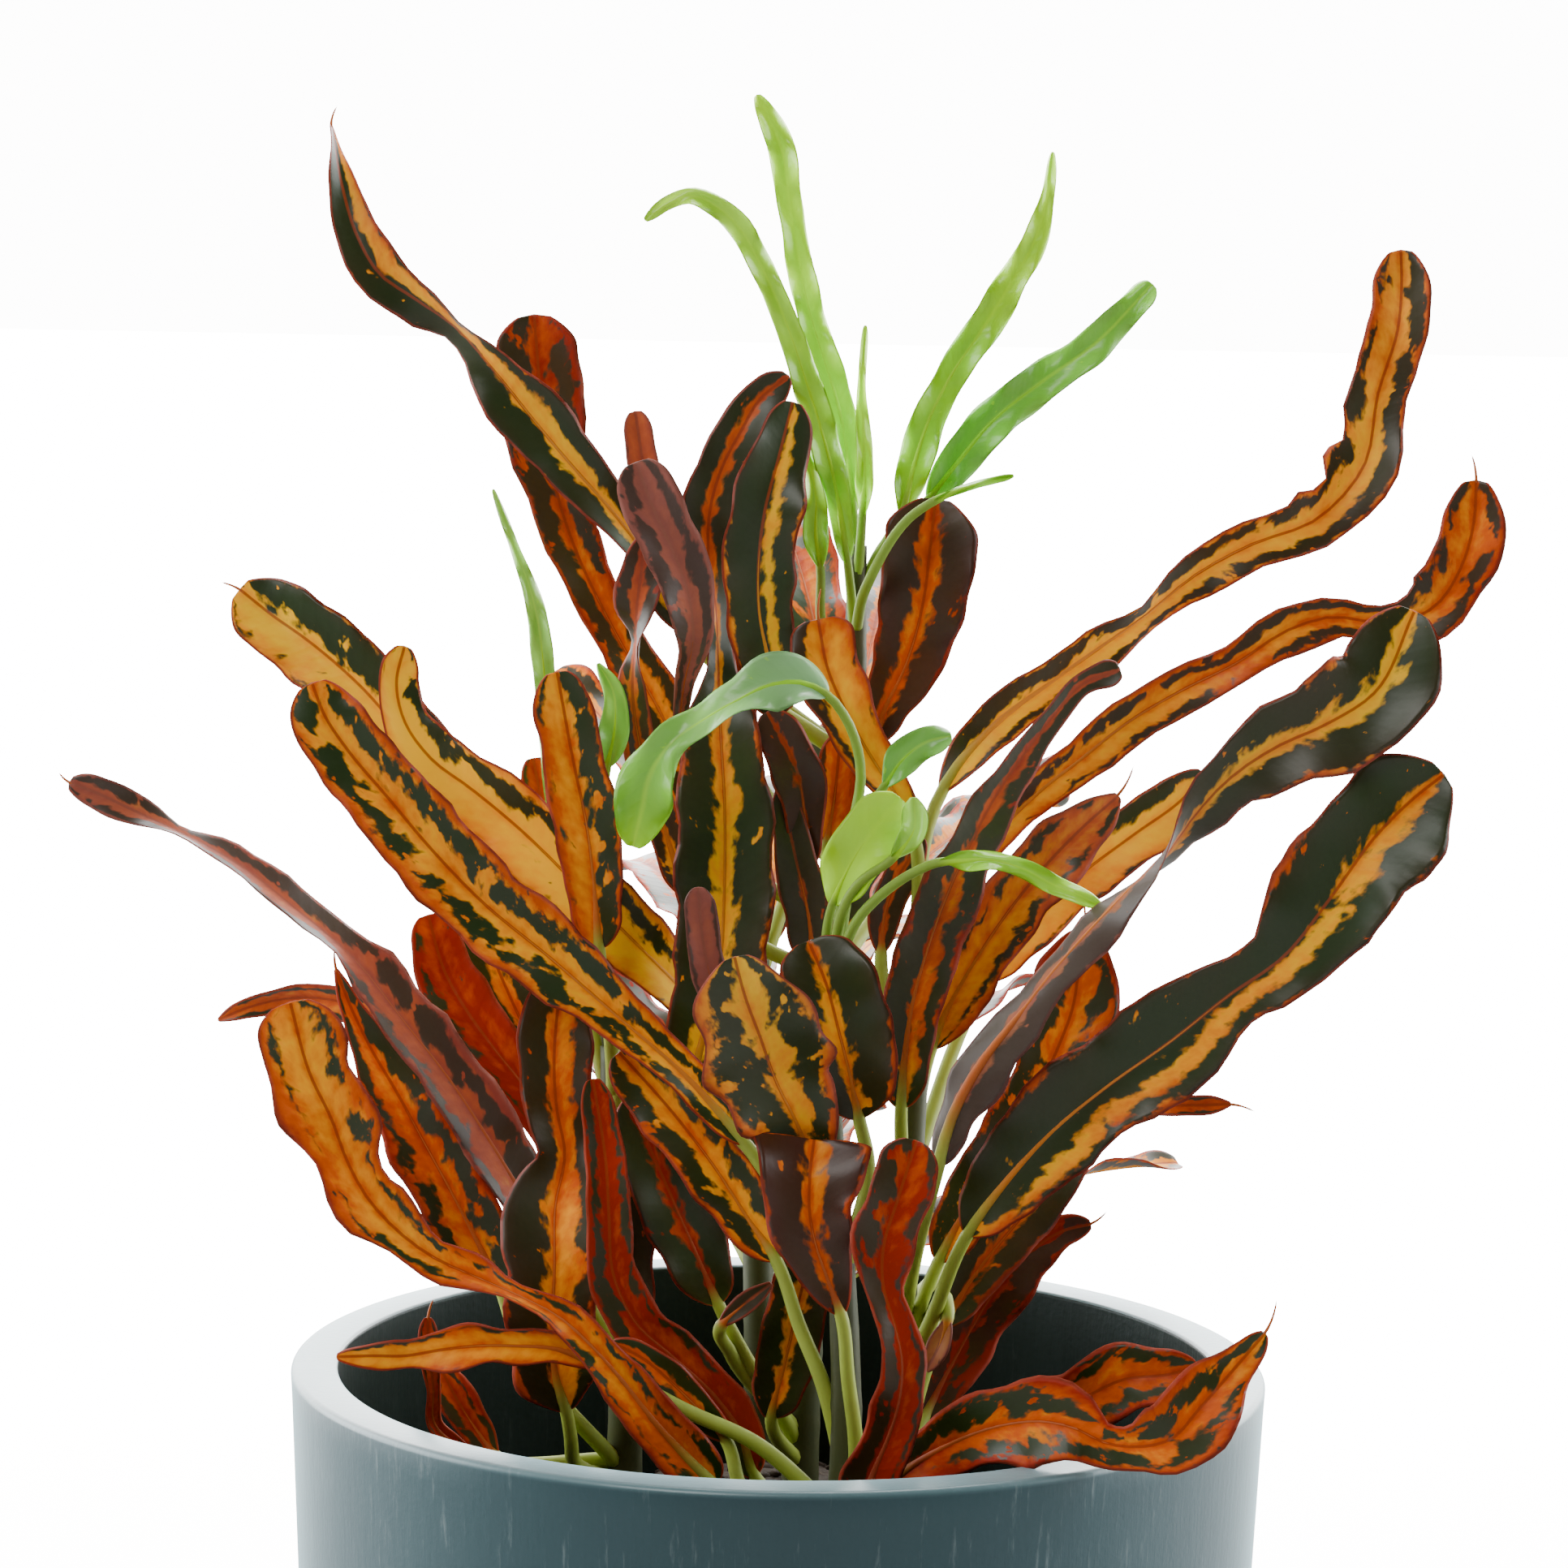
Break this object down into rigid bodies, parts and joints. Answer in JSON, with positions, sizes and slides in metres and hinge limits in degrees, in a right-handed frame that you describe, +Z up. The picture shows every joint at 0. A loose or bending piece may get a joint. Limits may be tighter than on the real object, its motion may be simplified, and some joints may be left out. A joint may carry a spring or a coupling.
{
  "type": "potted foliage plant",
  "caption": "Round tapered pot filled with soil, with leafy stems of long, twisted, variegated leaves and fresh green shoots.",
  "frame": {"origin": "centre of the pot's flat base", "axes": "+Z up along the pot's axis, -Y toward the front of the plant as it is seen"},
  "size_m": [0.2273, 0.2067, 0.3576],
  "materials": {
    "pot": "matt, finely scuffed",
    "soil": "loose and moist",
    "leaf": "smooth, waxy",
    "green_shoot": "smooth, waxy"
  },
  "bodies": {
    "root": {"pot": "pot", "potting_soil": "soil", "leafy_stem_tall": "leaf", "leafy_stem_left": "leaf", "leafy_stem_right": "leaf", "leafy_stem_front": "leaf", "leafy_stem_back": "leaf", "green_shoot_top": "green_shoot", "green_shoot_front": "green_shoot", "green_shoot_left": "green_shoot"}
  },
  "joints": []
}
